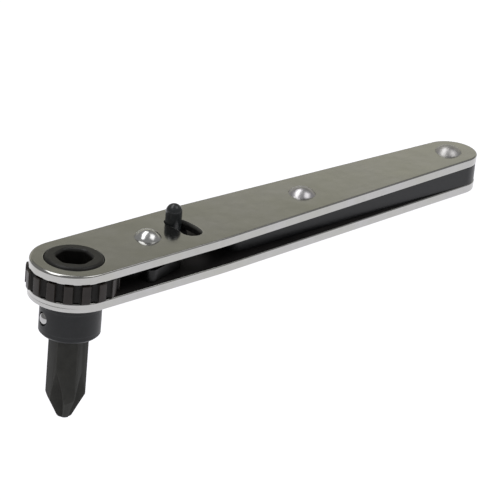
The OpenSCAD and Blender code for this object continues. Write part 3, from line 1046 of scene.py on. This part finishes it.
# Camera at the photograph's place, in metres, with its lens and sensor in millimetres
CAMERA_PLACE = Vector((-0.335865, -0.388276, 0.264826))
CAMERA_TILT = 65.8803
CAMERA_ROLL = -4.7535
CAMERA_PAN = -42.2013
CAMERA_LENS = 227.87
CAMERA_SENSOR = 36
CAMERA_NEAR = 0.01
CAMERA_FAR = 20
camera_data = bpy.data.cameras.new("camera")
camera_data.sensor_width = CAMERA_SENSOR
camera_data.lens = CAMERA_LENS
camera_data.clip_start = CAMERA_NEAR
camera_data.clip_end = CAMERA_FAR
camera = bpy.data.objects.new("camera", camera_data)
camera_turn = Euler([math.radians(turn) for turn in (CAMERA_TILT, CAMERA_ROLL, CAMERA_PAN)])
camera.matrix_world = Matrix.LocRotScale(CAMERA_PLACE, camera_turn, None)
bpy.context.scene.collection.objects.link(camera)
bpy.context.scene.camera = camera

# Floor, in metres, well below the part so that its shadow is soft
FLOOR_Z = -0.06
FLOOR_HALF = 3.0
FLOOR_SIGNS = ((-1, -1), (1, -1), (1, 1), (-1, 1))
floor_mesh = bpy.data.meshes.new("floor")
floor_corners = [(x * FLOOR_HALF, y * FLOOR_HALF, FLOOR_Z) for x, y in FLOOR_SIGNS]
floor_mesh.from_pydata(floor_corners, [], [list(range(len(floor_corners)))])
floor_mesh.materials.append(floor_finish())
floor = bpy.data.objects.new("floor", floor_mesh)
bpy.context.scene.collection.objects.link(floor)

# Light: two soft boxes, and a dim room with a bright band on the wall behind the part.
# The wall's levels go upwards, in pairs of the sine of the elevation and the level.
LIGHT_TARGET = Vector((0.03, 0.0, 0.03))
LIGHT_DISTANCE = 2.0
ROOM_LEVEL = 0.28
WALL_WAY = (math.sqrt(0.5), math.sqrt(0.5), 0)
WALL_START = 0.55
WALL_END = 0.85
WALL_TINT = (1.0, 0.985, 0.85)
WALL_LEVELS = [
    (0.0, 0.2), (0.2, 0.25), (0.3, 0.85), (0.326, 0.85),
    (0.371, 0.57), (0.413, 0.32), (0.48, 0.2), (1.0, 0.2),
]


def softbox(name, azimuth, elevation, width, height, power):
    """A lamp, sized in metres and watts, that looks at the part from a way in degrees."""
    data = bpy.data.lights.new(name, "AREA")
    data.shape = "RECTANGLE"
    data.size = width
    data.size_y = height
    data.energy = power
    lamp = bpy.data.objects.new(name, data)
    a, e = math.radians(azimuth), math.radians(elevation)
    away = Vector((math.cos(e) * math.cos(a), math.cos(e) * math.sin(a), math.sin(e)))
    lamp.location = LIGHT_TARGET + away * LIGHT_DISTANCE
    lamp.rotation_euler = away.to_track_quat("Z", "Y").to_euler()
    bpy.context.scene.collection.objects.link(lamp)


def room():
    """The room's light: one level all round, but for the wall, whose level goes by its height."""
    world = bpy.data.worlds.new("studio")
    world.use_nodes = True
    nodes = world.node_tree.nodes
    links = world.node_tree.links
    way = nodes.new("ShaderNodeTexCoord").outputs["Generated"]

    height = nodes.new("ShaderNodeSeparateXYZ")
    wall = nodes.new("ShaderNodeValToRGB")
    levels = wall.color_ramp.elements
    for position, level in WALL_LEVELS[len(levels):]:
        levels.new(position)
    for element, (position, level) in zip(levels, WALL_LEVELS):
        element.position = position
        element.color = (*(level * part for part in WALL_TINT), 1)
    links.new(way, height.inputs["Vector"])
    links.new(height.outputs["Z"], wall.inputs["Fac"])

    facing = nodes.new("ShaderNodeVectorMath")
    facing.operation = "DOT_PRODUCT"
    facing.inputs[1].default_value = WALL_WAY
    share = nodes.new("ShaderNodeMapRange")
    share.inputs["From Min"].default_value = WALL_START
    share.inputs["From Max"].default_value = WALL_END
    links.new(way, facing.inputs[0])
    links.new(facing.outputs["Value"], share.inputs["Value"])

    mix = nodes.new("ShaderNodeMix")
    mix.data_type = "RGBA"
    mix.inputs["A"].default_value = (ROOM_LEVEL, ROOM_LEVEL, ROOM_LEVEL, 1)
    links.new(share.outputs["Result"], mix.inputs["Factor"])
    links.new(wall.outputs["Color"], mix.inputs["B"])
    links.new(mix.outputs["Result"], nodes["Background"].inputs["Color"])
    return world


softbox("box_left", azimuth=114, elevation=67, width=2.5, height=0.7, power=14.5)
softbox("box_right", azimuth=-40, elevation=62, width=1.4, height=0.9, power=6.0)
bpy.context.scene.world = room()
bpy.context.scene.view_settings.view_transform = "Standard"
